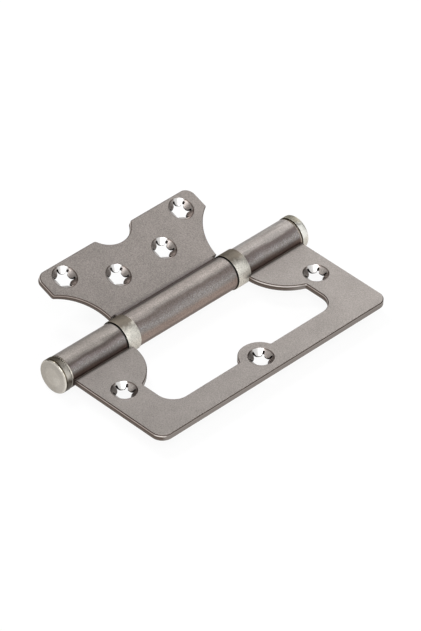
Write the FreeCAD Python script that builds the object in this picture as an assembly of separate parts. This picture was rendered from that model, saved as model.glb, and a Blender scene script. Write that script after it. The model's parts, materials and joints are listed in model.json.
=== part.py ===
# Flush butterfly hinge with two ball bearings in its barrel.
#
# Two sheet leaves are rolled round one pin. The frame leaf has the two end knuckles and a large
# cut-out; the wing leaf has the centre knuckle and folds flat into that cut-out, so the closed
# hinge is one sheet thick. A bearing sits in each gap between the knuckles, and a cap closes the
# barrel at each end. All the screw holes are pressed down into six petals.
#
# Frame: the origin is on the pin's axis, halfway along the barrel, which runs along Y. The frame
# leaf lies level and reaches out to +X. The wing leaf reaches out to -X and is raised from flat,
# as it stands in use part way open. +Z is the side that the screw heads go in from.
import FreeCAD, Part
import math
import os

Vec = FreeCAD.Vector

# Sheet that both leaves are cut from
plate_thickness = 2.0
plate_edge_break = 0.25    # bevel along the leaf's edges

# Pin and barrel
pin_radius = 3.6
running_clearance = 0.05
pin_length = 93.4
pin_end_chamfer = 0.5
roll_seam = 0.1           # left between a knuckle's rolled end and the leaf under it
neck_bend_radius = 1.0    # inside radius of the bend from the leaf down into the knuckle
leaf_drop = 0.3           # each leaf's mid-plane stands this far towards its bearing face

# Lengths along the barrel
hinge_length = 100.0
centre_knuckle_length = 42.6
bearing_slot = 5.8        # gap between two knuckles, which holds one bearing

# Frame leaf
frame_reach = 43.8        # pin axis to the outer edge
frame_corner_radius = 4.0
cutout_end_gap = 3.0      # cut-out's far edge to the folded wing leaf
cutout_side_gap = 2.7
ear_gap = 2.2             # ear to the wing leaf's waist, also round the boss
boss_radius = 7.3
cutout_nick_radius = 0.6  # where an ear or the boss runs into a straight edge

# Wing leaf
wing_reach = 31.2
wing_half_length = 33.4
wing_corner_radius = 3.2
wing_waist_radius = 19.0
waist_centre_x = 5.6      # pin axis to the centre of the waist and the ear, which share it
wing_tip_radius = 0.8
notch_radius = 8.6
notch_depth = 4.7
notch_mouth_radius = 1.2
rest_angle = 19.5         # degrees that the wing leaf is raised above flat

# Neck beside a bearing
neck_relief = 0.35        # leaf edge to the bearing's rim
neck_overlap = 0.4        # knuckle's root drawn on into the leaf
neck_corner_radius = 0.3  # leaf's corner beside a bearing

# Screw holes: insets are from the leaf's outer edge, end insets from its end
frame_end_hole_x = 19.6   # from the pin axis
frame_end_hole_end_inset = 7.8
frame_boss_hole_shift = 2.3  # from the middle of the outer bar towards the pin
wing_outer_hole_inset = 5.2
wing_outer_hole_end_inset = 7.9
wing_inner_hole_inset = 13.8
wing_inner_hole_y = 10.0  # from the middle

# One petalled screw hole
hole_rim_radius = 4.2
petal_count = 6
petal_tip_radius = 2.25
petal_tip_thickness = 0.3
petal_round = 1.1
petal_slit_width = 0.75
petal_slit_reach = 3.6

# End caps
cap_proud = 0.15          # head's rim beyond the barrel
cap_length = 3.6
cap_edge_bevel = 0.6
cap_collar_step = 0.2     # collar's rim inside the head's
cap_collar_length = 0.5
cap_groove_width = 0.4
cap_groove_depth = 0.5
cap_plug_length = 3.0

# Thrust bearings
shell_proud = 0.35        # shell's rim beyond the barrel
shell_wall = 0.6
shell_edge_break = 0.2    # on the seated end
shell_floor = 1.0
shell_gap = 0.5           # open edge of the shell to the knuckle it turns against
race_thickness = 1.6
race_clearance = 0.08
cage_thickness = 0.6
cage_gap = 0.3            # cage to the pin and to the shell
ball_count = 6
ball_sides = 6            # flat facets round one ball
ball_bands = 4            # and from pole to pole
washer_sides = 24         # flat facets round a race or a cage

# Worked out from the sizes above
bore_radius = pin_radius + running_clearance
barrel_radius = bore_radius + plate_thickness
cap_radius = barrel_radius + cap_proud
cap_collar_radius = cap_radius - cap_collar_step
cap_groove_radius = cap_radius - cap_groove_depth
shell_radius = barrel_radius + shell_proud
half_length = hinge_length / 2
frame_end_hole_y = half_length - frame_end_hole_end_inset
wing_outer_hole_x = wing_reach - wing_outer_hole_inset
wing_outer_hole_y = wing_half_length - wing_outer_hole_end_inset
wing_inner_hole_x = wing_reach - wing_inner_hole_inset
centre_half = centre_knuckle_length / 2
slot_outer = centre_half + bearing_slot
leaf_top = plate_thickness / 2 - leaf_drop
wing_top = plate_thickness / 2 + leaf_drop
cutout_reach = wing_reach + cutout_end_gap
cutout_half = wing_half_length + cutout_side_gap
frame_boss_hole_x = (cutout_reach + frame_reach) / 2 - frame_boss_hole_shift
cutout_corner_radius = wing_corner_radius + (cutout_end_gap + cutout_side_gap) / 2
waist_centre_y = frame_end_hole_y
ear_radius = wing_waist_radius - ear_gap
notch_bottom = wing_reach - notch_depth
shell_bore = shell_radius - shell_wall
race_outer = shell_bore - race_clearance
race_spacing = bearing_slot - shell_floor - 2 * race_thickness
cage_bore = pin_radius + cage_gap
cage_outer = shell_bore - cage_gap
ball_path_radius = (cage_bore + cage_outer) / 2
ball_radius = race_spacing / 2 - running_clearance

Z_AXIS = Vec(0, 0, 1)
Y_AXIS = Vec(0, 1, 0)
ORIGIN = Vec(0, 0, 0)
tolerance = 0.01          # for picking edges by their place


def neck_bend(top):
    # Centre of the bend that takes a leaf with its top face at this height down into its knuckle
    z = top - plate_thickness - neck_bend_radius
    return Vec(math.sqrt((barrel_radius + neck_bend_radius) ** 2 - z ** 2), 0, z)


neck_start = max(shell_radius + neck_relief, neck_bend(leaf_top).x, neck_bend(wing_top).x)
root_x = neck_start + neck_overlap


def line(a, b):
    return Part.makeLine(a, b)


def arc(a, through, b):
    return Part.Arc(a, through, b).toShape()


def polar(centre, radius, degrees):
    # A point in the XZ plane at this radius and angle from a centre
    angle = math.radians(degrees)
    return Vec(centre.x + radius * math.cos(angle), 0, centre.z + radius * math.sin(angle))


def knuckle(y_low, y_high, top):
    # Section: the leaf's root, a bend down, and a roll under the pin, round and back to the leaf's top
    bend = neck_bend(top)
    slope = math.degrees(math.atan2(bend.z, bend.x))
    bottom = top - plate_thickness
    end_z = top + roll_seam
    outer_end = math.degrees(math.asin(end_z / barrel_radius))
    inner_end = math.degrees(math.asin(end_z / bore_radius))
    outer_bend = neck_bend_radius + plate_thickness
    half_bend = (90 + 180 + slope) / 2
    edges = [
        line(Vec(root_x, 0, bottom), Vec(bend.x, 0, bottom)),
        arc(polar(bend, neck_bend_radius, 90), polar(bend, neck_bend_radius, half_bend),
            polar(bend, neck_bend_radius, 180 + slope)),
        arc(polar(ORIGIN, barrel_radius, slope), polar(ORIGIN, barrel_radius, 180),
            polar(ORIGIN, barrel_radius, outer_end)),
        line(polar(ORIGIN, barrel_radius, outer_end), polar(ORIGIN, bore_radius, inner_end)),
        arc(polar(ORIGIN, bore_radius, inner_end), polar(ORIGIN, bore_radius, 180),
            polar(ORIGIN, bore_radius, slope)),
        arc(polar(bend, outer_bend, 180 + slope), polar(bend, outer_bend, half_bend),
            polar(bend, outer_bend, 90)),
        line(Vec(bend.x, 0, top), Vec(root_x, 0, top)),
        line(Vec(root_x, 0, top), Vec(root_x, 0, bottom)),
    ]
    section = Part.Face(Part.Wire(edges))
    section.translate(Vec(0, y_low, 0))
    return section.extrude(Vec(0, y_high - y_low, 0))


def slab(x_low, x_high, half, top, corner_radius=0):
    # A sheet piece about the X axis, with its two outer corners rounded
    size = Vec(x_high - x_low, 2 * half, plate_thickness)
    piece = Part.makeBox(size.x, size.y, size.z, Vec(x_low, -half, top - plate_thickness))
    if corner_radius:
        corners = [e for e in piece.Edges if upright(e, plate_thickness)
                   and e.CenterOfMass.x > x_high - tolerance]
        piece = piece.makeFillet(corner_radius, corners)
    return piece


def disc(x, y, radius, top):
    return Part.makeCylinder(radius, plate_thickness, Vec(x, y, top - plate_thickness))


def upright(edge, height):
    # True for an edge of this height that stands straight up
    box = edge.BoundBox
    return max(box.XLength, box.YLength, abs(box.ZLength - height)) < tolerance


def round_upright(piece, radius, near):
    # Rounds the upright edges closest to each of the given points
    chosen = []
    for x, y in near:
        best = min(
            (e for e in piece.Edges if upright(e, plate_thickness)),
            key=lambda e: math.hypot(e.CenterOfMass.x - x, e.CenterOfMass.y - y),
        )
        chosen.append(best)
    return piece.makeFillet(radius, chosen)


def soften(piece, top):
    # Breaks the sheet's top edges, apart from those at its root by the barrel
    edges = []
    for edge in piece.Edges:
        box = edge.BoundBox
        if box.ZMin > top - tolerance and box.XMax > neck_start + tolerance:
            edges.append(edge)
    return piece.makeChamfer(plate_edge_break, edges)


def half_chord(radius, offset):
    return math.sqrt(radius ** 2 - offset ** 2)


def beside_bearing(radius):
    # Where the arc of an ear or a waist meets the root of its leaf
    y = waist_centre_y - half_chord(radius, neck_start - waist_centre_x)
    return [(neck_start, -y), (neck_start, y)]


def petal_hole(x, y, top):
    # The space that a screw hole takes out of the sheet: a cone, and a star that parts the petals
    tip_depth = plate_thickness - petal_tip_thickness
    profile = Part.makePolygon([
        ORIGIN,
        Vec(hole_rim_radius, 0, 0),
        Vec(petal_tip_radius, 0, -tip_depth),
        Vec(0, 0, -tip_depth),
        ORIGIN,
    ])
    bowl = Part.Face(profile).revolve(ORIGIN, Z_AXIS, 360)
    depth = 2 * plate_thickness
    below = Vec(0, 0, -depth)
    star = Part.makeCylinder(petal_tip_radius, depth, below)
    for i in range(petal_count):
        slit = Part.makeBox(petal_slit_reach, petal_slit_width, depth, Vec(0, -petal_slit_width / 2, -depth))
        slit.rotate(ORIGIN, Z_AXIS, 360 / petal_count * i)
        star = star.fuse(slit)
    star = star.removeSplitter()
    corners = [
        e for e in star.Edges
        if upright(e, depth)
        and abs(math.hypot(e.CenterOfMass.x, e.CenterOfMass.y) - petal_tip_radius) < tolerance
    ]
    star = star.makeFillet(petal_round, corners)
    hole = bowl.fuse(star)
    hole.translate(Vec(x, y, top))
    return hole


def frame_leaf():
    top = leaf_top
    near_knuckle = knuckle(-half_length, -slot_outer, top)
    far_knuckle = knuckle(slot_outer, half_length, top)
    sheet = slab(neck_start, frame_reach, half_length, top, frame_corner_radius)
    window = slab(-neck_start, cutout_reach, cutout_half, top, cutout_corner_radius)
    for side in (-1, 1):
        window = window.cut(disc(waist_centre_x, side * waist_centre_y, ear_radius, top))
    window = window.cut(disc(frame_boss_hole_x, 0, boss_radius, top))
    ear_end_x = waist_centre_x + half_chord(ear_radius, waist_centre_y - cutout_half)
    boss_end_y = half_chord(boss_radius, frame_boss_hole_x - cutout_reach)
    window = round_upright(window, cutout_nick_radius, [
        (ear_end_x, -cutout_half),
        (ear_end_x, cutout_half),
        (cutout_reach, -boss_end_y),
        (cutout_reach, boss_end_y),
    ])
    sheet = round_upright(sheet.cut(window), neck_corner_radius, beside_bearing(ear_radius))
    sheet = soften(sheet, top)
    leaf = sheet.fuse([near_knuckle, far_knuckle])
    for x, y in ((frame_end_hole_x, -frame_end_hole_y), (frame_boss_hole_x, 0),
                 (frame_end_hole_x, frame_end_hole_y)):
        leaf = leaf.cut(petal_hole(x, y, top))
    return leaf.removeSplitter()


def wing_leaf():
    top = wing_top
    roll = knuckle(-centre_half, centre_half, top)
    sheet = slab(neck_start, wing_reach, wing_half_length, top, wing_corner_radius)
    for side in (-1, 1):
        sheet = sheet.cut(disc(waist_centre_x, side * waist_centre_y, wing_waist_radius, top))
    sheet = sheet.cut(disc(notch_bottom + notch_radius, 0, notch_radius, top))
    waist_end_x = waist_centre_x + half_chord(wing_waist_radius, waist_centre_y - wing_half_length)
    notch_end_y = half_chord(notch_radius, notch_bottom + notch_radius - wing_reach)
    sheet = round_upright(sheet, neck_corner_radius, beside_bearing(wing_waist_radius))
    sheet = round_upright(sheet, wing_tip_radius,
                          [(waist_end_x, -wing_half_length), (waist_end_x, wing_half_length)])
    sheet = round_upright(sheet, notch_mouth_radius,
                          [(wing_reach, -notch_end_y), (wing_reach, notch_end_y)])
    sheet = soften(sheet, top)
    leaf = sheet.fuse(roll)
    for side in (-1, 1):
        leaf = leaf.cut(petal_hole(wing_outer_hole_x, side * wing_outer_hole_y, top))
        leaf = leaf.cut(petal_hole(wing_inner_hole_x, side * wing_inner_hole_y, top))
    leaf = leaf.removeSplitter()
    leaf.rotate(ORIGIN, Z_AXIS, 180)
    leaf.rotate(ORIGIN, Y_AXIS, rest_angle)
    return leaf


def turned(points):
    # A solid turned about the barrel's axis from (radius, y) corners
    corners = [Vec(r, y, 0) for r, y in points]
    return Part.Face(Part.makePolygon(corners + corners[:1])).revolve(ORIGIN, Y_AXIS, 360)


def hinge_pin():
    pin = Part.makeCylinder(pin_radius, pin_length, Vec(0, -pin_length / 2, 0), Y_AXIS)
    ends = [e for e in pin.Edges if e.BoundBox.YLength < tolerance]
    return pin.makeChamfer(pin_end_chamfer, ends)


def end_cap(side):
    # A plug pressed into the bore, a thin collar, a groove and the bevelled head
    seat = half_length
    groove = seat + cap_collar_length
    head = groove + cap_groove_width
    face = seat + cap_length
    cap = turned([
        (0, seat - cap_plug_length),
        (pin_radius, seat - cap_plug_length),
        (pin_radius, seat),
        (cap_collar_radius, seat),
        (cap_collar_radius, groove),
        (cap_groove_radius, groove),
        (cap_groove_radius, head),
        (cap_radius, head),
        (cap_radius, face - cap_edge_bevel),
        (cap_radius - cap_edge_bevel, face),
        (0, face),
    ])
    if side < 0:
        cap.rotate(ORIGIN, Z_AXIS, 180)
    return cap


def bearing_shell(floor_y):
    # A cup with its floor seated on the knuckle at floor_y and its open edge towards -Y
    inside = floor_y - shell_floor
    mouth = floor_y - bearing_slot + shell_gap
    return turned([
        (bore_radius, floor_y),
        (bore_radius, inside),
        (shell_bore, inside),
        (shell_bore, mouth),
        (shell_radius, mouth),
        (shell_radius, floor_y - shell_edge_break),
        (shell_radius - shell_edge_break, floor_y),
    ])


def prism(radius, sides, thickness, middle_y):
    corners = [polar(ORIGIN, radius, 360 * i / sides) for i in range(sides + 1)]
    face = Part.Face(Part.makePolygon(corners))
    face.translate(Vec(0, middle_y - thickness / 2, 0))
    return face.extrude(Vec(0, thickness, 0))


def washer(inner, outer, thickness, middle_y):
    # Drawn in flat facets that clear the inner radius and stay inside the outer one, as it can't be seen
    widening = 1 / math.cos(math.pi / washer_sides)
    ring = prism(outer, washer_sides, thickness, middle_y)
    return ring.cut(prism(inner * widening, washer_sides, thickness, middle_y))


def ball():
    # Drawn in flat facets, because it repeats inside a closed shell
    rings = []
    for k in range(1, ball_bands):
        height = math.pi * k / ball_bands - math.pi / 2
        radius = ball_radius * math.cos(height)
        corners = [polar(ORIGIN, radius, 360 * i / ball_sides) for i in range(ball_sides + 1)]
        ring = Part.makePolygon(corners)
        ring.translate(Vec(0, ball_radius * math.sin(height), 0))
        rings.append(ring)
    return Part.makeLoft(rings, True, True)


def caged_balls(middle_y):
    # A flat cage with its balls, which stand out on both sides
    balls = []
    for i in range(ball_count):
        place = polar(ORIGIN, ball_path_radius, 360 * i / ball_count)
        caged = ball()
        caged.translate(place + Vec(0, middle_y, 0))
        balls.append(caged)
    return washer(cage_bore, cage_outer, cage_thickness, middle_y).fuse(balls)


def bearing(name, floor_y):
    # Four pieces: the shell with its floor at the +Y side, a race in it, the balls and the second race
    seated_y = floor_y - shell_floor - race_thickness / 2
    balls_y = seated_y - (race_thickness + race_spacing) / 2
    loose_y = balls_y - (race_thickness + race_spacing) / 2
    return {
        name + "_bearing_shell": bearing_shell(floor_y),
        name + "_seated_race": washer(bore_radius, race_outer, race_thickness, seated_y),
        name + "_caged_balls": caged_balls(balls_y),
        name + "_loose_race": washer(bore_radius, race_outer, race_thickness, loose_y),
    }


pieces = {
    "frame_leaf": frame_leaf(),
    "wing_leaf": wing_leaf(),
    "hinge_pin": hinge_pin(),
    "near_cap": end_cap(-1),
    "far_cap": end_cap(1),
}
pieces.update(bearing("near", -centre_half))
pieces.update(bearing("far", slot_outer))

os.makedirs("parts", exist_ok=True)
for name, shape in pieces.items():
    shape.exportStep("parts/" + name + ".step")
    print(name, "solids", len(shape.Solids), "valid", shape.isValid(), "volume", round(shape.Volume, 1))
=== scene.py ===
# Looks of a flush butterfly hinge: satin sheet leaves on a barrel with two bright bearing rings.
import bpy
import json
import math
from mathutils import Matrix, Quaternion, Vector

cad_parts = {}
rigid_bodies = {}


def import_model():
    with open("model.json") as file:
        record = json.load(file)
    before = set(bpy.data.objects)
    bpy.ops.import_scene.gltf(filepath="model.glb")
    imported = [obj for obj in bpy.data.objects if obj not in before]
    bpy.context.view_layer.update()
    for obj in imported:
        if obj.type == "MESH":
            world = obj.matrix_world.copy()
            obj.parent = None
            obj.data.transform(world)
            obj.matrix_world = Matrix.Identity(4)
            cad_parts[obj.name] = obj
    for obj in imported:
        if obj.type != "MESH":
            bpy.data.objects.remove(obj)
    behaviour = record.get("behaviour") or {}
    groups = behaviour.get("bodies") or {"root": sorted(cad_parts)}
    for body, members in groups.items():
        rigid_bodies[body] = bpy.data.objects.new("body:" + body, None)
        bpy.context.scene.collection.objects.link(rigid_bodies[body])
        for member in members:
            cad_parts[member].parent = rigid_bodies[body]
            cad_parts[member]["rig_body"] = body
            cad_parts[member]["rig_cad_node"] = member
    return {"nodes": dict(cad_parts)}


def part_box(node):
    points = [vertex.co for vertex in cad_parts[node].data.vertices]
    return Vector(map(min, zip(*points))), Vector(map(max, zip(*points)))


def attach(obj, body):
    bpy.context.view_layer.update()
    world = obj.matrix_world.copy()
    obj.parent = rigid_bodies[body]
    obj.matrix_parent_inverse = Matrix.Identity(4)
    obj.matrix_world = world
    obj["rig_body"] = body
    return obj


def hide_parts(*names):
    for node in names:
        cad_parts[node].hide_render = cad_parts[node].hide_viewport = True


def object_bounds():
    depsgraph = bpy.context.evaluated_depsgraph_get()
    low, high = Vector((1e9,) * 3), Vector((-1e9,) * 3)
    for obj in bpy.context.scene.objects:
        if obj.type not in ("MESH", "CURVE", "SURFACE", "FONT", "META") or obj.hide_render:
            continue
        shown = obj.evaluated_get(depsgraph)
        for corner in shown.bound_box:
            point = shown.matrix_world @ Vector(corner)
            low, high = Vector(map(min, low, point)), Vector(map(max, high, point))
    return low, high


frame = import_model()
cad_low, cad_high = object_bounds()
nodes = frame["nodes"]

MM = 0.001

# Camera of the photograph: a long lens that looks down on the near end of the barrel
photo_width = 421
photo_height = 631
focal_pixels = 4992.9
sensor_width = 36
camera_azimuth = 42.875
camera_elevation = 39.195
camera_roll = 2.99
camera_distance = 1.5556
camera_aim = Vector((9.32, 5.68, -2.67)) * MM

# Places on the hinge that its finishes follow, in millimetres
rest_angle = 19.5          # degrees that the wing leaf stands above flat
leaf_top = 0.7
wing_top = 1.3
barrel_radius = 5.65
sheet_start = 6.5          # pin axis to where a leaf's flat sheet begins
hole_rim_radius = 4.2
frame_holes = [(19.6, -42.2), (36.7, 0.0), (19.6, 42.2)]
wing_holes = [(26.0, -25.5), (26.0, 25.5), (17.4, -10.0), (17.4, 10.0)]
end_light_start = 20.0      # from the middle of the barrel to where the painted light and shade of one end begin
end_light_full = 30.0
barrel_fade = (barrel_radius + 0.7, barrel_radius + 0.3)
flat_sheet_fade = (sheet_start, sheet_start + 0.1)
foot_fade = (sheet_start + 0.9, sheet_start - 0.3)
bowl_fade = (hole_rim_radius + 0.05, hole_rim_radius - 0.05)
hole_rim_span = (hole_rim_radius - 0.4, hole_rim_radius - 0.15, hole_rim_radius,
                 hole_rim_radius + 0.15)
near_hole_fade = (hole_rim_radius + 0.3, hole_rim_radius + 0.1)

# Level directions in a leaf's plane, outwards from the pin and along the barrel. In each screw hole
# the petal with a painted highlight faces one way across, and the petal with painted shade the
# other way.
petal_across = 0.866
petal_along = -0.5
# A third petal, painted lighter as painted light, faces this way along.
lit_petal_direction = (0.0, -1.0)
corner_direction = (0.6, -0.8)

# Masks by the way a surface looks: the cosine with a direction where the mask starts and is full.
# Those with four values are full between the middle two.
alike_tilt = (0.85, 0.94)             # with a level direction
outer_edge_tilt = (0.7, 0.9)          # outwards from the pin
sheet_side_tilt = (0.93, 0.8)         # upright to the sheet
slit_side_tilt = (0.6, 0.3)
knuckle_end_tilt = (0.6, 0.8)         # along the barrel
turned_face_tilt = (0.9, 0.98)
turned_back_tilt = (-0.8, -0.95)
turned_front_tilt = (0.1, 0.5)
edge_shade_line_tilt = (0.03, 0.05, 0.34, 0.45)
polished_edge_tilt = (0.1, 0.35, 0.8, 0.95)

# Turned pieces, in millimetres
cap_length = 3.6
cap_edge_round = 0.7
cap_round_steps = 6
cap_edge_break = 0.06
cap_collar_length = 0.5
cap_groove_width = 0.4
cap_groove_depth = 0.5
cap_plug_length = 3.0
cap_plug_radius = 3.6
collar_radius = 5.6
dark_radius = 5.5          # what lies deeper than this in a cap or a ring is painted dark as shade
dark_fade = (dark_radius + 0.06, dark_radius)
collar_span = (collar_radius - 0.1, collar_radius - 0.05, collar_radius + 0.05,
               collar_radius + 0.1)
head_fade = (collar_radius + 0.06, collar_radius + 0.12)
shell_wall = 0.6
shell_floor = 1.0
shell_bore = 3.65
shell_edge_break = 0.12
turned_sides = 128
bevel_segments = 3

# Angles in degrees, and distances in metres, for smoothing and merging the meshes
sheet_smooth_angle = 20
turned_smooth_angle = 35
sheet_merge = 0.5e-6
turned_merge = 1e-6

# Bands round the barrel, in degrees about the pin: 0 over the frame leaf, 90 straight up. Each has
# the angles where it starts, is full, begins to fade and ends.
# The dark band is painted shade.
dark_band = (32.0, 54.0, 61.0, 71.0)
speck_band = (20.0, 32.0, 48.0, 58.0)
# The crown is a painted highlight. The underside band is a brown tint.
crown_band = (66.0, 84.0, 104.0, 118.0)
underside_band = (-80.0, -50.0, 8.0, 28.0)
# The shaded band is painted shade below the barrel.
shaded_band = (-70.0, -40.0, -22.0, -4.0)
# The crease bands are painted shade where a knuckle meets a leaf.
frame_crease_band = (-45.0, -22.0, 15.0, 40.0)
wing_crease_band = (107.0, 121.0, 158.0, 176.0)
# Painted shade below the caps and rings
nickel_under_shade_band = (-80.0, -50.0, 5.0, 28.0)
nickel_dull_band = (-80.0, -50.0, 10.0, 30.0)
# Tarnish with painted shade on top of the caps and rings, in degrees
tarnish_and_shade_fade = 140.0
tarnish_and_shade_end = 166.0

# How far the streaks, the drift and the blotches shift the borders of those bands, in degrees
streak_shift = 16.0
drift_shift = 26.0
blotch_shift = 26.0
speck_noise_span = (0.46, 0.64)         # values of the noise where a speck starts and is full

# Painted light and shade that only one end knuckle of the frame leaf has: end (-1 near, 1 far),
# band and tint
frame_end_light_and_shade = [
    (-1, (58.0, 64.0, 140.0, 158.0), (0.94, 0.94, 0.93)),
    (-1, (52.0, 60.0, 68.0, 78.0), (0.82, 0.81, 0.8)),
    (-1, (40.0, 46.0, 51.0, 57.0), (1.18, 1.18, 1.19)),
    (-1, (104.0, 112.0, 140.0, 158.0), (0.92, 0.91, 0.91)),
    (1, (98.0, 108.0, 126.0, 136.0), (1.12, 1.14, 1.16)),
    (1, (66.0, 76.0, 92.0, 102.0), (0.92, 0.93, 0.94)),
]

# Satin steel of the leaves. A tint multiplies the colour under it.
leaf_grain = 0.38
leaf_cloud = 0.3
leaf_roughness = 0.37
leaf_tone_roughness = 0.15
streak_contrast = 0.5
pressed_roughness = 0.3
far_end_light_gain = 1.6         # painted light: how much lighter the steel gets for each metre along the barrel
# The crown tint is a painted highlight and the shaded tint is painted shade; the bluish tint makes
# lighter specks.
crown_highlight_tint = (1.25, 1.24, 1.23)
speck_tint = (1.3, 1.38, 1.48)
underside_tint = (1.12, 0.96, 0.88)
shaded_tint = (0.58, 0.56, 0.54)
pressed_steel = (0.345, 0.317, 0.3)
# The bright petal colour is a painted highlight, and the dark petal tint is painted shade.
petal_highlight_colour = (0.6, 0.59, 0.58, 1)
shaded_petal_tint = (0.45, 0.4, 0.38)
hole_rim_tint = (0.4, 0.36, 0.34)
# The petals' cut slits are painted near black as shade.
slit_shade_colour = (0.03, 0.024, 0.022, 1)

# Cut edges of the sheet. Each band has the depths below the top face, in millimetres.
shine_band = (0.2, 0.36, 0.5, 0.7)
torn_band = (0.55, 0.8, 1.2, 1.5)
# The dark line just under the top face is painted shade.
shade_line_full = 0.2
shade_line_end = 0.32
edge_wander = 0.25
edge_brown = (0.13, 0.105, 0.09, 1)
edge_light_brown = (0.2, 0.17, 0.15, 1)
torn_colour = (0.135, 0.105, 0.088, 1)
# The shine band is burnished, and it is also painted lighter as a highlight.
shine_colour = (0.46, 0.39, 0.355, 1)
shade_line_colour = (0.1, 0.08, 0.07, 1)
# Edges that face outwards from the pin are painted lighter as painted light, and rounded corners
# get a painted highlight.
outer_edge_lit_colour = (0.28, 0.25, 0.23, 1)
corner_highlight_colour = (0.85, 0.79, 0.75, 1)
outer_edge_light_share = 0.95
edge_roughness = 0.6
shine_roughness = 0.35

# Nickel of the caps and rings
nickel_grain = 0.45
face_roughness = 0.42
tarnish_and_shade_roughness = 0.52
polished_roughness = 0.33
disc_radius = 2.9          # the lighter middle of a turned face, in millimetres
disc_fade = 3.5
disc_gain = 0.14
turned_ring_contrast = 0.35
# Painted shade in the gaps and grooves of the caps and rings
nickel_gap_shade_tint = (0.09, 0.08, 0.07)
nickel_specular_tint = (0.5, 0.48, 0.44, 1)

# Studio
floor_grey = (0.85, 0.85, 0.85, 1)
floor_glow_share = 0.92
sky_grey = (0.8, 0.8, 0.8, 1)
white = (1, 1, 1, 1)
card_grey = (0.2, 0.19, 0.18, 1)
card_thickness = 0.01

FLOAT = "NodeSocketFloat"
VECTOR = "NodeSocketVector"
COLOUR = "NodeSocketColor"


def deselect():
    bpy.ops.object.select_all(action="DESELECT")


def select_only(piece):
    deselect()
    piece.select_set(True)
    bpy.context.view_layer.objects.active = piece


def mm(*sizes):
    return [size * MM for size in sizes]


def node(tree, kind, links=None, **values):
    # Adds a node, sets its properties and input values, and links the inputs that are given sockets
    made = tree.nodes.new(kind)
    for key, value in values.items():
        setattr(made, key, value)
    for key, source in (links or {}).items():
        socket = made.inputs[key]
        if isinstance(source, bpy.types.NodeSocket):
            tree.links.new(source, socket)
        else:
            socket.default_value = source
    return made


def math_node(tree, operation, first, second=0.0):
    return node(tree, "ShaderNodeMath", {0: first, 1: second}, operation=operation).outputs[0]


def times(tree, first, second):
    return math_node(tree, "MULTIPLY", first, second)


def add(tree, first, second):
    return math_node(tree, "ADD", first, second)


def less(tree, first, second):
    return math_node(tree, "SUBTRACT", first, second)


def either(tree, first, second):
    return math_node(tree, "MAXIMUM", first, second)


def opposite(tree, value):
    return less(tree, 1.0, value)


def shift(tree, value, amount):
    # A noise value turned into a shift to both sides of 0, in all as wide as amount
    return times(tree, less(tree, value, 0.5), amount)


def smooth_step(tree, value, low, high):
    ramp = node(tree, "ShaderNodeMapRange", {"Value": value, "From Min": low, "From Max": high},
                interpolation_type="SMOOTHSTEP")
    return ramp.outputs["Result"]


def between(tree, value, low, low_full, high_full, high):
    # 1 from low_full to high_full, and 0 outside low and high
    rise = smooth_step(tree, value, low, low_full)
    return times(tree, rise, smooth_step(tree, value, high, high_full))


def noise(tree, vector, scale, detail=3.0, roughness=0.6):
    return node(tree, "ShaderNodeTexNoise", {"Vector": vector, "Scale": scale, "Detail": detail,
                                             "Roughness": roughness}).outputs["Fac"]


def stretched(tree, vector, along_barrel):
    # Draws a pattern out along the barrel: the smaller the value, the longer the pattern
    mapping = node(tree, "ShaderNodeMapping", {"Vector": vector, "Scale": (1, along_barrel, 1)})
    return mapping.outputs["Vector"]


def split(tree, vector):
    return node(tree, "ShaderNodeSeparateXYZ", {"Vector": vector}).outputs


def length(tree, x, y, z):
    joined = node(tree, "ShaderNodeCombineXYZ", {"X": x, "Y": y, "Z": z}).outputs[0]
    return node(tree, "ShaderNodeVectorMath", {0: joined}, operation="LENGTH").outputs["Value"]


def tinted(tree, amount, colour, tint):
    # The colour, multiplied by the tint where amount is 1
    mixer = node(tree, "ShaderNodeMix", {0: amount, 6: colour, 7: (*tint, 1)}, data_type="RGBA",
                 blend_type="MULTIPLY")
    return mixer.outputs[2]


def mixed(tree, amount, first, second):
    mixer = node(tree, "ShaderNodeMix", {0: amount, 6: first, 7: second}, data_type="RGBA")
    return mixer.outputs[2]


def mixed_value(tree, amount, first, second):
    return node(tree, "ShaderNodeMix", {0: amount, 2: first, 3: second}).outputs[0]


def scaled_colour(tree, colour, tone):
    scaler = node(tree, "ShaderNodeVectorMath", {0: colour, "Scale": tone}, operation="SCALE")
    return scaler.outputs["Vector"]


def bump(tree, height, strength, depth):
    made = node(tree, "ShaderNodeBump",
                {"Height": height, "Strength": strength, "Distance": depth * MM})
    return made.outputs["Normal"]


def new_group(name, inputs, outputs):
    group = bpy.data.node_groups.new(name, "ShaderNodeTree")
    for label, kind in inputs:
        group.interface.new_socket(label, in_out="INPUT", socket_type=kind)
    for label, kind in outputs:
        group.interface.new_socket(label, in_out="OUTPUT", socket_type=kind)
    return group, node(group, "NodeGroupInput").outputs, node(group, "NodeGroupOutput").inputs


def put_out(group, result, values):
    for label, value in values.items():
        group.links.new(value, result[label])


def use_group(tree, group, **values):
    # Every input of the group is given by its name, so grain_size is the input Grain Size
    made = node(tree, "ShaderNodeGroup", node_tree=group)
    for key, source in values.items():
        socket = made.inputs[key.replace("_", " ").title()]
        if isinstance(source, bpy.types.NodeSocket):
            tree.links.new(source, socket)
        else:
            socket.default_value = source
    return made.outputs


def satin_grain_group():
    # The sandy grain of blasted and plated steel: flecks, cloudy patches and a fine bump height
    group, given, result = new_group(
        "satin_grain",
        [("Vector", VECTOR), ("Grain Size", FLOAT), ("Fleck", FLOAT), ("Cloud", FLOAT)],
        [("Tone", FLOAT), ("Height", FLOAT)],
    )
    scale = math_node(group, "DIVIDE", 1 / MM, given["Grain Size"])
    fine = noise(group, given["Vector"], scale, detail=2.0, roughness=0.7)
    cloud = noise(group, given["Vector"], scale=140.0)
    flecks = shift(group, fine, given["Fleck"])
    clouds = shift(group, cloud, given["Cloud"])
    put_out(group, result, {"Tone": add(group, add(group, flecks, clouds), 1.0), "Height": fine})
    return group


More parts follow.
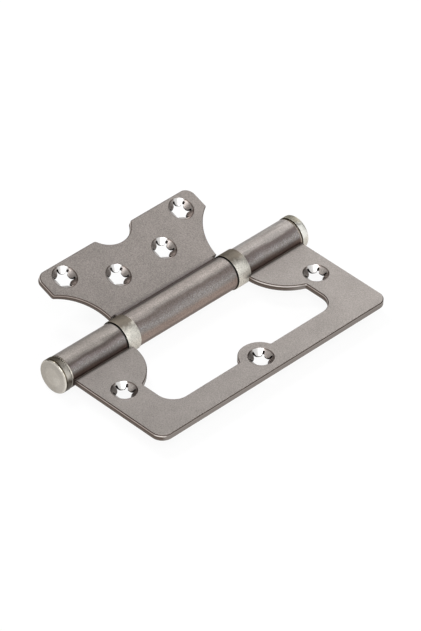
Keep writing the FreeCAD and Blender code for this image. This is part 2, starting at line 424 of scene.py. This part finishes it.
def barrel_marks_and_shading_group():
    # Streaks along the barrel, bands round it, most of them painted light and shade, and the angle
    # about the pin, plain and with ragged borders
    labels = ("Barrel", "Angle", "Depth", "Band", "Underside", "Crown", "Shaded", "Streak", "Specks",
              "Ragged")
    group, given, result = new_group("barrel_marks_and_shading", [("Vector", VECTOR)],
                                     [(label, FLOAT) for label in labels])
    place = split(group, given["Vector"])
    radius = length(group, place["X"], 0.0, place["Z"])
    angle = times(group, math_node(group, "ARCTAN2", place["Z"], place["X"]), 180 / math.pi)
    drawn_out = stretched(group, given["Vector"], along_barrel=0.07)
    streak = noise(group, drawn_out, scale=900.0, detail=4.0)
    drawn_out = stretched(group, given["Vector"], along_barrel=0.45)
    drift = noise(group, drawn_out, scale=170.0, detail=2.0)
    ragged = add(group, angle, shift(group, streak, streak_shift))
    ragged = add(group, ragged, shift(group, drift, drift_shift))
    speckle = noise(group, given["Vector"], scale=2200.0, detail=2.0, roughness=0.8)
    speckle = smooth_step(group, speckle, *speck_noise_span)
    put_out(group, result, {
        "Barrel": smooth_step(group, radius, *mm(*barrel_fade)),
        "Angle": angle,
        "Depth": less(group, barrel_radius * MM, radius),
        "Band": between(group, ragged, *dark_band),
        "Underside": between(group, ragged, *underside_band),
        "Crown": between(group, ragged, *crown_band),
        "Shaded": between(group, ragged, *shaded_band),
        "Streak": streak,
        "Specks": times(group, speckle, between(group, ragged, *speck_band)),
        "Ragged": ragged,
    })
    return group


def cut_edge_group():
    # The sheared edge of the sheet, by its depth below the top face: a dark line of painted shade,
    # a burnished band where the punch slid, painted lighter as a highlight, and the duller torn
    # part
    group, given, result = new_group(
        "cut_edge",
        [("Vector", VECTOR), ("Depth", FLOAT)],
        [("Colour", COLOUR), ("Roughness", FLOAT), ("Shine", FLOAT)],
    )
    wander = shift(group, noise(group, given["Vector"], scale=500.0), edge_wander * MM)
    depth = add(group, given["Depth"], wander)
    shade_line = smooth_step(group, depth, *mm(shade_line_end, shade_line_full))
    shine = between(group, depth, *mm(*shine_band))
    torn = between(group, depth, *mm(*torn_band))
    mottle = noise(group, given["Vector"], scale=1600.0, detail=2.0, roughness=0.7)
    colour = mixed(group, mottle, edge_brown, edge_light_brown)
    colour = mixed(group, torn, colour, torn_colour)
    colour = mixed(group, shine, colour, shine_colour)
    colour = mixed(group, shade_line, colour, shade_line_colour)
    put_out(group, result, {
        "Colour": colour,
        "Roughness": mixed_value(group, shine, edge_roughness, shine_roughness),
        "Shine": shine,
    })
    return group


satin_grain = satin_grain_group()
barrel_marks_and_shading = barrel_marks_and_shading_group()
cut_edge = cut_edge_group()


def new_material(name):
    material = bpy.data.materials.new(name)
    material.use_nodes = True
    tree = material.node_tree
    shader = tree.nodes["Principled BSDF"]
    place = node(tree, "ShaderNodeTexCoord").outputs
    return material, tree, shader, place


def leaf_plane(tree, place, turn, mirrored):
    # Place and normal in the leaf's own plane, with X outwards from the pin
    placing = {"Rotation": turn, "Scale": mirrored}
    local = node(tree, "ShaderNodeMapping", {"Vector": place["Object"], **placing})
    normal = node(tree, "ShaderNodeMapping", {"Vector": place["Normal"], **placing},
                  vector_type="VECTOR")
    return local.outputs["Vector"], split(tree, normal.outputs["Vector"])


def looking_along(tree, normal, within, across, along):
    # The mask within, kept only where the surface looks along the level direction (across, along)
    slope = either(tree, length(tree, normal["X"], normal["Y"], 0.0), 0.05)
    reach = add(tree, times(tree, normal["X"], across), times(tree, normal["Y"], along))
    alike = smooth_step(tree, math_node(tree, "DIVIDE", reach, slope), *alike_tilt)
    return times(tree, within, alike)


def knuckle_paint(tree, colour, barrel_bands, along, band_shade_tint, end_light_and_shade):
    # The rolled knuckle: a painted highlight on the crown, a dark band of painted shade, lighter
    # bluish specks, a brown underside, painted shade below, and the painted light and shade that
    # only one end has
    barrel = barrel_bands["Barrel"]
    for label, tint in (("Crown", crown_highlight_tint), ("Band", band_shade_tint), ("Specks", speck_tint),
                        ("Underside", underside_tint), ("Shaded", shaded_tint)):
        colour = tinted(tree, times(tree, barrel, barrel_bands[label]), colour, tint)
    for side, band, tint in end_light_and_shade:
        end = smooth_step(tree, along, *mm(side * end_light_start, side * end_light_full))
        knuckle = times(tree, barrel, end)
        mark = times(tree, knuckle, between(tree, barrel_bands["Ragged"], *band))
        colour = tinted(tree, mark, colour, tint)
    return colour


def corner_paint(tree, colour, barrel_bands, out_from_pin, crease_band, crease_shade_tint, foot_shade_tint):
    # Painted shade where the knuckle meets the leaf, on the knuckle and at the foot of it
    crease = times(tree, barrel_bands["Barrel"], between(tree, barrel_bands["Angle"], *crease_band))
    colour = tinted(tree, crease, colour, crease_shade_tint)
    foot = smooth_step(tree, out_from_pin, *mm(*foot_fade))
    return tinted(tree, times(tree, foot, opposite(tree, barrel_bands["Barrel"])), colour, foot_shade_tint)


def hole_distance(tree, local, holes):
    # Level distance to the middle of the nearest screw hole
    nearest = None
    for hole_x, hole_y in holes:
        centred = node(tree, "ShaderNodeVectorMath", {0: local, 1: (hole_x * MM, hole_y * MM, 0)},
                       operation="SUBTRACT").outputs["Vector"]
        parts = split(tree, centred)
        distance = length(tree, parts["X"], parts["Y"], 0.0)
        nearest = distance if nearest is None else math_node(tree, "MINIMUM", nearest, distance)
    return nearest


def hole_paint(tree, colour, tone, away, bowl, normal, level, across, lit_petal_tint):
    # Pressed screw holes: petals with cut sides painted dark as shade, in a thin dark rim. Each
    # hole has one petal with a painted highlight, one painted lighter and one painted darker as
    # shade, picked by the way they face.
    highlight_petal = looking_along(tree, normal, bowl, across, petal_along)
    lit_petal = looking_along(tree, normal, bowl, *lit_petal_direction)
    shaded_petal = looking_along(tree, normal, bowl, -across, petal_along)
    pressed = scaled_colour(tree, pressed_steel, tone)
    pressed = mixed(tree, highlight_petal, pressed, petal_highlight_colour)
    pressed = tinted(tree, lit_petal, pressed, lit_petal_tint)
    pressed = tinted(tree, shaded_petal, pressed, shaded_petal_tint)
    colour = mixed(tree, bowl, colour, pressed)
    rim = between(tree, away, *mm(*hole_rim_span))
    colour = tinted(tree, times(tree, rim, opposite(tree, highlight_petal)), colour, hole_rim_tint)
    slit_side = times(tree, bowl, smooth_step(tree, level, *slit_side_tilt))
    return mixed(tree, slit_side, colour, slit_shade_colour)


def cut_mask(tree, spot, away, normal, level):
    # 1 on the cut edges of the sheet and of the knuckles' ends, and 0 in the screw holes
    flat_sheet = smooth_step(tree, spot["X"], *mm(*flat_sheet_fade))
    sheet_side = times(tree, smooth_step(tree, level, *sheet_side_tilt), flat_sheet)
    end_side = smooth_step(tree, math_node(tree, "ABSOLUTE", normal["Y"]), *knuckle_end_tilt)
    near_hole = smooth_step(tree, away, *mm(*near_hole_fade))
    return times(tree, either(tree, sheet_side, end_side), opposite(tree, near_hole))


def edge_paint(tree, colour, cut, edge, normal):
    # Cut edges, painted an even, lighter grey-brown as painted light where they face outwards from
    # the pin, and with a painted highlight at a rounded corner
    outward = smooth_step(tree, normal["X"], *outer_edge_tilt)
    lit_edge = mixed(tree, times(tree, outward, outer_edge_light_share), edge["Colour"], outer_edge_lit_colour)
    corner_highlight = looking_along(tree, normal, edge["Shine"], *corner_direction)
    lit_edge = mixed(tree, corner_highlight, lit_edge, corner_highlight_colour)
    return mixed(tree, cut, colour, lit_edge)


def leaf_material(name, turn, mirrored, top, holes, steel, fleck, lit_petal_tint, band_shade_tint,
                  crease_band, crease_shade_tint, foot_shade_tint, end_light_and_shade=()):
    # Satin steel sheet, with masks that are worked out in the leaf's own plane
    material, tree, shader, place = new_material(name)
    local, normal = leaf_plane(tree, place, turn, mirrored)
    spot = split(tree, local)
    level = math_node(tree, "ABSOLUTE", normal["Z"])
    tone, height = use_group(tree, satin_grain, vector=place["Object"], grain_size=leaf_grain,
                             fleck=fleck, cloud=leaf_cloud)
    # Painted light, growing towards the far end of the barrel
    tone = times(tree, tone, add(tree, times(tree, spot["Y"], far_end_light_gain), 1.0))
    barrel_bands = use_group(tree, barrel_marks_and_shading, vector=place["Object"])

    streaks = shift(tree, barrel_bands["Streak"], streak_contrast)
    streaks = add(tree, 1.0, times(tree, barrel_bands["Barrel"], streaks))
    colour = scaled_colour(tree, steel, times(tree, tone, streaks))
    colour = knuckle_paint(tree, colour, barrel_bands, spot["Y"], band_shade_tint, end_light_and_shade)
    colour = corner_paint(tree, colour, barrel_bands, spot["X"], crease_band, crease_shade_tint, foot_shade_tint)

    away = hole_distance(tree, local, holes)
    bowl = smooth_step(tree, away, *mm(*bowl_fade))
    across = petal_across * mirrored[0]
    colour = hole_paint(tree, colour, tone, away, bowl, normal, level, across, lit_petal_tint)

    cut = cut_mask(tree, spot, away, normal, level)
    sheet_depth = less(tree, top * MM, spot["Z"])
    depth = mixed_value(tree, barrel_bands["Barrel"], sheet_depth, barrel_bands["Depth"])
    edge = use_group(tree, cut_edge, vector=place["Object"], depth=depth)
    colour = edge_paint(tree, colour, cut, edge, normal)

    roughness = add(tree, times(tree, tone, leaf_tone_roughness), leaf_roughness)
    roughness = mixed_value(tree, bowl, roughness, pressed_roughness)
    roughness = mixed_value(tree, cut, roughness, edge["Roughness"])
    tree.links.new(colour, shader.inputs["Base Color"])
    shader.inputs["Metallic"].default_value = 1.0
    tree.links.new(roughness, shader.inputs["Roughness"])
    tree.links.new(bump(tree, height, strength=0.3, depth=0.03), shader.inputs["Normal"])
    return material


def nickel_material(name, outward, colour, roughness, fleck, cloud, face_tint, tarnish_and_shade_start,
                    tarnish_and_shade_full, tarnish_and_shade_tint, under_shade_tint, collar_light_and_shade_tint=(1, 1, 1),
                    groove_shade_tint=nickel_gap_shade_tint, edge_shade_line_tint=(1, 1, 1)):
    # Bright plated steel: tarnish and painted shade on top, painted shade below and in its gaps,
    # painted light and shade on a cap's collar, and a line of painted shade on the rounded edge.
    # Outward is 1 where the piece's free face looks to +Y and -1 where it looks to -Y. That face is
    # turned, with fine rings round the axis, and its edge is polished.
    material, tree, shader, place = new_material(name)
    tone, height = use_group(tree, satin_grain, vector=place["Object"], grain_size=nickel_grain,
                             fleck=fleck, cloud=cloud)
    spot = split(tree, place["Object"])
    radius = length(tree, spot["X"], 0.0, spot["Z"])
    facing = times(tree, split(tree, place["Normal"])["Y"], outward)
    barrel_bands = use_group(tree, barrel_marks_and_shading, vector=place["Object"])
    blotch = shift(tree, noise(tree, place["Object"], scale=700.0), blotch_shift)
    angle = add(tree, barrel_bands["Angle"], blotch)

    # The turned face
    face = smooth_step(tree, facing, *turned_face_tilt)
    rings = noise(tree, node(tree, "ShaderNodeCombineXYZ", {"X": radius}).outputs[0], scale=3500.0)
    turned_tone = add(tree, 1.0, shift(tree, rings, turned_ring_contrast))
    disc = smooth_step(tree, radius, *mm(disc_fade, disc_radius))
    turned_tone = add(tree, turned_tone, times(tree, disc, disc_gain))
    shade = times(tree, tone, mixed_value(tree, face, 1.0, turned_tone))

    # The rim and the gaps, with painted shade and painted light
    around = opposite(tree, smooth_step(tree, facing, *turned_front_tilt))
    tarnish_and_shade_band = (tarnish_and_shade_start, tarnish_and_shade_full, tarnish_and_shade_fade, tarnish_and_shade_end)
    tarnish_and_shade = times(tree, around, between(tree, angle, *tarnish_and_shade_band))
    under = times(tree, around, between(tree, angle, *nickel_under_shade_band))
    collar = times(tree, around, between(tree, radius, *mm(*collar_span)))
    deep = times(tree, around, smooth_step(tree, radius, *mm(*dark_fade)))
    groove = either(tree, deep, smooth_step(tree, facing, *turned_back_tilt))
    head = smooth_step(tree, radius, *mm(*head_fade))
    edge_shade_line = times(tree, between(tree, facing, *edge_shade_line_tilt), head)

    # Tarnish and painted shade on top, painted shade below and in the gaps, painted light or shade
    # on the collar, and painted shade beside the edge
    plated = tinted(tree, tarnish_and_shade, scaled_colour(tree, colour, shade), tarnish_and_shade_tint)
    plated = tinted(tree, under, plated, under_shade_tint)
    plated = tinted(tree, groove, plated, groove_shade_tint)
    plated = tinted(tree, collar, plated, collar_light_and_shade_tint)
    plated = tinted(tree, edge_shade_line, plated, edge_shade_line_tint)
    plated = tinted(tree, face, plated, face_tint)
    tree.links.new(plated, shader.inputs["Base Color"])
    metal = mixed_value(tree, between(tree, angle, *nickel_dull_band), 1.0, 0.5)
    tree.links.new(metal, shader.inputs["Metallic"])
    shader.inputs["Specular Tint"].default_value = nickel_specular_tint
    dull = mixed_value(tree, face, roughness, face_roughness)
    dull = mixed_value(tree, tarnish_and_shade, dull, tarnish_and_shade_roughness)
    polished_edge = between(tree, facing, *polished_edge_tilt)
    dull = mixed_value(tree, polished_edge, dull, polished_roughness)
    tree.links.new(times(tree, tone, dull), shader.inputs["Roughness"])
    both = add(tree, height, times(tree, face, rings))
    tree.links.new(bump(tree, both, strength=0.25, depth=0.02), shader.inputs["Normal"])
    return material


def ground_material(name, colour, roughness, fleck, cloud):
    # Plain ground steel of the pieces inside the barrel
    material, tree, shader, place = new_material(name)
    tone, height = use_group(tree, satin_grain, vector=place["Object"], grain_size=0.4, fleck=fleck,
                             cloud=cloud)
    tree.links.new(scaled_colour(tree, colour, tone), shader.inputs["Base Color"])
    shader.inputs["Metallic"].default_value = 1.0
    tree.links.new(times(tree, tone, roughness), shader.inputs["Roughness"])
    tree.links.new(bump(tree, height, strength=0.2, depth=0.02), shader.inputs["Normal"])
    return material


def give(piece, material):
    piece.data.materials.clear()
    piece.data.materials.append(material)


def smooth_copy(name, source, body):
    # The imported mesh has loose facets, so a merged copy with smooth rounds stands for it
    select_only(nodes[source])
    bpy.ops.object.duplicate()
    piece = bpy.context.object
    piece.name = name
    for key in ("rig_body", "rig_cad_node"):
        if key in piece:
            del piece[key]
    bpy.ops.mesh.customdata_custom_splitnormals_clear()
    bpy.ops.object.mode_set(mode="EDIT")
    bpy.ops.mesh.select_all(action="SELECT")
    bpy.ops.mesh.remove_doubles(threshold=sheet_merge)
    bpy.ops.object.mode_set(mode="OBJECT")
    bpy.ops.object.shade_smooth_by_angle(angle=math.radians(sheet_smooth_angle))
    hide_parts(source)
    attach(piece, body)
    return piece


def turned_piece(name, profile, closed_ends):
    # Starts from one circle at the profile's first (radius, y) and is drawn out ring by ring
    deselect()
    radius, y = profile[0]
    bpy.ops.mesh.primitive_circle_add(vertices=turned_sides, radius=radius * MM,
                                      location=(0, y * MM, 0), rotation=(math.pi / 2, 0, 0))
    piece = bpy.context.object
    piece.name = name
    bpy.ops.object.transform_apply(location=True, rotation=True, scale=True)
    bpy.ops.object.mode_set(mode="EDIT")
    bpy.ops.mesh.select_all(action="SELECT")
    if closed_ends:
        bpy.ops.mesh.edge_face_add()
    for next_radius, next_y in profile[1:]:
        step = (0, (next_y - y) * MM, 0)
        bpy.ops.mesh.extrude_region_move(TRANSFORM_OT_translate={"value": step})
        grown = next_radius / radius
        bpy.ops.transform.resize(value=(grown, 1, grown), center_override=(0, next_y * MM, 0))
        radius, y = next_radius, next_y
    bpy.ops.mesh.select_all(action="SELECT")
    bpy.ops.mesh.remove_doubles(threshold=turned_merge)
    bpy.ops.mesh.normals_make_consistent(inside=False)
    bpy.ops.object.mode_set(mode="OBJECT")
    return piece


def finish_turned(piece, edge_break, stands_for, body, material):
    select_only(piece)
    bevel = piece.modifiers.new("edge_break", "BEVEL")
    bevel.width = edge_break * MM
    bevel.segments = bevel_segments
    bevel.limit_method = "ANGLE"
    bevel.angle_limit = math.radians(turned_smooth_angle)
    bpy.ops.object.modifier_apply(modifier=bevel.name)
    bpy.ops.object.shade_smooth_by_angle(angle=math.radians(turned_smooth_angle))
    give(piece, material)
    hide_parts(stands_for)
    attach(piece, body)


def end_cap(side, label, material):
    # Plug, thin collar, groove and a head with a rounded edge. Side is -1 at the near end, 1 at the
    # far one.
    low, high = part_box(label + "_cap")
    head_radius = high.x / MM
    face = (high.y if side > 0 else -low.y) / MM
    seat = face - cap_length
    groove = seat + cap_collar_length
    head = groove + cap_groove_width
    profile = [
        (cap_plug_radius, seat - cap_plug_length),
        (cap_plug_radius, seat),
        (collar_radius, seat),
        (collar_radius, groove),
        (head_radius - cap_groove_depth, groove),
        (head_radius - cap_groove_depth, head),
        (head_radius, head),
    ]
    for step in range(cap_round_steps + 1):
        turn = math.pi / 2 * step / cap_round_steps
        profile.append((head_radius - cap_edge_round * (1 - math.cos(turn)),
                        face - cap_edge_round * (1 - math.sin(turn))))
    placed = [(radius, side * y) for radius, y in profile]
    piece = turned_piece(label + "_end_cap", placed, closed_ends=True)
    finish_turned(piece, cap_edge_break, label + "_cap", "frame_side", material)


def bearing_ring(label, body, material):
    # A cup with its floor on one knuckle and its open edge towards the camera's end of the barrel
    low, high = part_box(label + "_bearing_shell")
    outer = high.x / MM
    mouth = low.y / MM
    seat = high.y / MM
    profile = [
        (shell_bore, seat),
        (shell_bore, seat - shell_floor),
        (outer - shell_wall, seat - shell_floor),
        (outer - shell_wall, mouth),
        (outer, mouth),
        (outer, seat),
        (shell_bore, seat),
    ]
    piece = turned_piece(label + "_bearing_ring", profile, closed_ends=False)
    finish_turned(piece, shell_edge_break, label + "_bearing_shell", body, material)


def both_leaves():
    frame_sheet = smooth_copy("frame_sheet", "frame_leaf", "frame_side")
    wing_sheet = smooth_copy("wing_sheet", "wing_leaf", "wing_side")
    give(frame_sheet, leaf_material(
        "frame_leaf_steel", turn=(0, 0, 0), mirrored=(1, 1, 1), top=leaf_top, holes=frame_holes,
        steel=(0.297, 0.273, 0.257), fleck=1.2, lit_petal_tint=(1.88, 1.86, 1.85),
        band_shade_tint=(0.59, 0.54, 0.54), crease_band=frame_crease_band, crease_shade_tint=(0.36, 0.32, 0.31),
        foot_shade_tint=(0.18, 0.165, 0.155), end_light_and_shade=frame_end_light_and_shade,
    ))
    # The wing is the same steel as the frame leaf; its darker colour and its other tints are
    # painted light and shade for its tilt.
    give(wing_sheet, leaf_material(
        "wing_leaf_steel", turn=(0, math.radians(rest_angle), 0), mirrored=(-1, 1, 1), top=wing_top,
        holes=wing_holes,
        steel=(0.27, 0.245, 0.229), fleck=1.5, lit_petal_tint=(1.17, 1.15, 1.14),
        band_shade_tint=(0.7, 0.65, 0.64), crease_band=wing_crease_band, crease_shade_tint=(0.37, 0.33, 0.325),
        foot_shade_tint=(0.72, 0.7, 0.72),
    ))


def caps_and_rings():
    # The near and the far cap are one nickel, painted darker at the near end and lighter at the far
    # end as painted light and shade.
    near_nickel = nickel_material(
        "near_cap_nickel", outward=-1.0,
        colour=(0.57, 0.54, 0.485), roughness=0.36, fleck=0.7, cloud=0.3,
        face_tint=(0.76, 0.75, 0.75), tarnish_and_shade_start=24.0, tarnish_and_shade_full=92.0,
        tarnish_and_shade_tint=(0.14, 0.127, 0.112), under_shade_tint=(0.14, 0.127, 0.114),
        collar_light_and_shade_tint=(1.55, 1.54, 1.52), edge_shade_line_tint=(0.27, 0.245, 0.2),
    )
    far_nickel = nickel_material(
        "far_cap_nickel", outward=1.0,
        colour=(0.82, 0.81, 0.76), roughness=0.3, fleck=0.5, cloud=0.25,
        face_tint=(0.7, 0.7, 0.7), tarnish_and_shade_start=56.0, tarnish_and_shade_full=78.0,
        tarnish_and_shade_tint=(0.38, 0.36, 0.32), under_shade_tint=(0.74, 0.71, 0.67),
        collar_light_and_shade_tint=(0.45, 0.4, 0.37), groove_shade_tint=(0.2, 0.165, 0.14),
    )
    ring_nickel = nickel_material(
        "ring_nickel", outward=1.0,
        colour=(0.66, 0.64, 0.58), roughness=0.34, fleck=1.1, cloud=0.7,
        face_tint=(0.7, 0.68, 0.65), tarnish_and_shade_start=48.0, tarnish_and_shade_full=78.0,
        tarnish_and_shade_tint=(0.26, 0.235, 0.215), under_shade_tint=(0.85, 0.82, 0.8),
    )
    end_cap(-1, "near", near_nickel)
    end_cap(1, "far", far_nickel)
    bearing_ring("near", "wing_side", ring_nickel)
    bearing_ring("far", "frame_side", ring_nickel)


def pieces_inside():
    ground_steel = ground_material("ground_bearing_steel", colour=(0.2, 0.2, 0.2), roughness=0.35,
                                   fleck=0.2, cloud=0.2)
    for part_name, cad_node in nodes.items():
        if part_name.endswith(("race", "balls", "pin")):
            give(cad_node, ground_steel)


def background_share(tree):
    # 1 where the camera, a reflection or clear glass looks, 0 for light that falls on things
    path = node(tree, "ShaderNodeLightPath").outputs
    seen = either(tree, path["Is Camera Ray"], path["Is Glossy Ray"])
    return either(tree, seen, path["Is Transmission Ray"])


def floor():
    deselect()
    bpy.ops.mesh.primitive_plane_add(size=3.0, location=(0, 0, cad_low.z))
    sheet = bpy.context.object
    sheet.name = "floor"
    bpy.ops.object.transform_apply(location=True, rotation=True, scale=True)
    material, tree, shader, _ = new_material("floor_white")
    shader.inputs["Base Color"].default_value = floor_grey
    shader.inputs["Roughness"].default_value = 0.9
    glow = node(tree, "ShaderNodeEmission", {"Color": white, "Strength": 1.0})
    share = times(tree, background_share(tree), floor_glow_share)
    both = node(tree, "ShaderNodeMixShader", {0: share, 1: shader.outputs[0], 2: glow.outputs[0]})
    tree.links.new(both.outputs[0], tree.nodes["Material Output"].inputs["Surface"])
    give(sheet, material)


def sky():
    world = bpy.data.worlds.new("studio")
    bpy.context.scene.world = world
    world.use_nodes = True
    tree = world.node_tree
    sheen = tree.nodes["Background"]
    tree.links.new(mixed(tree, background_share(tree), sky_grey, white), sheen.inputs["Color"])
    sheen.inputs["Strength"].default_value = 1.0


def softbox(name, place, size, power):
    deselect()
    bpy.ops.object.light_add(type="AREA", location=place)
    lamp = bpy.context.object
    lamp.name = name
    lamp.data.size = size
    lamp.data.energy = power
    lamp.rotation_mode = "QUATERNION"
    lamp.rotation_quaternion = (-Vector(place)).to_track_quat("-Z", "Y")


def card(name, low_corner, high_corner):
    # A grey card of the studio. The camera doesn't see it, and the metal reflects it.
    deselect()
    centre = (Vector(low_corner) + Vector(high_corner)) / 2
    size = Vector(high_corner) - Vector(low_corner)
    bpy.ops.mesh.primitive_cube_add(size=1, location=centre)
    board = bpy.context.object
    board.name = name
    board.scale = [max(side, card_thickness) for side in size]
    bpy.ops.object.transform_apply(location=True, rotation=True, scale=True)
    material, _, shader, _ = new_material(name + "_grey")
    shader.inputs["Base Color"].default_value = card_grey
    shader.inputs["Roughness"].default_value = 1.0
    give(board, material)
    board.visible_camera = False


def camera():
    azimuth = math.radians(camera_azimuth)
    elevation = math.radians(camera_elevation)
    back = Vector((math.sin(azimuth) * math.cos(elevation),
                   -math.cos(azimuth) * math.cos(elevation), math.sin(elevation)))
    data = bpy.data.cameras.new("photo_camera")
    eye = bpy.data.objects.new("photo_camera", data)
    bpy.context.scene.collection.objects.link(eye)
    eye.location = camera_aim + back * camera_distance
    eye.rotation_mode = "QUATERNION"
    roll = Quaternion((0, 0, 1), math.radians(camera_roll))
    eye.rotation_quaternion = (-back).to_track_quat("-Z", "Y") @ roll
    data.sensor_width = sensor_width
    data.lens = sensor_width * focal_pixels / max(photo_width, photo_height)
    data.clip_start = 0.1
    data.clip_end = 20
    bpy.context.scene.camera = eye


both_leaves()
caps_and_rings()
pieces_inside()
floor()
sky()
card("ceiling_card", (-1.6, -1.2, 1.25), (0.45, 1.6, 1.25))
card("left_card", (-1.6, -1.2, 0.0), (-1.6, 1.6, 1.25))
card("back_card", (-1.6, 1.6, 0.0), (1.2, 1.6, 1.25))
softbox("top_left_lamp", (-0.5, 0.0, 0.86), size=0.3, power=5.2)
softbox("back_lamp", (-0.27, 0.47, 0.25), size=0.2, power=0.36)
softbox("left_lamp", (-0.85, 0.2, 0.35), size=0.3, power=0.9)
softbox("far_lamp", (-0.2, 0.8, 0.6), size=0.3, power=2.4)
softbox("front_lamp", (0.35, -0.38, 0.86), size=0.5, power=4.2)
softbox("right_lamp", (0.88, -0.2, 0.42), size=0.35, power=2.1)
camera()
bpy.context.scene.view_settings.view_transform = "Standard"
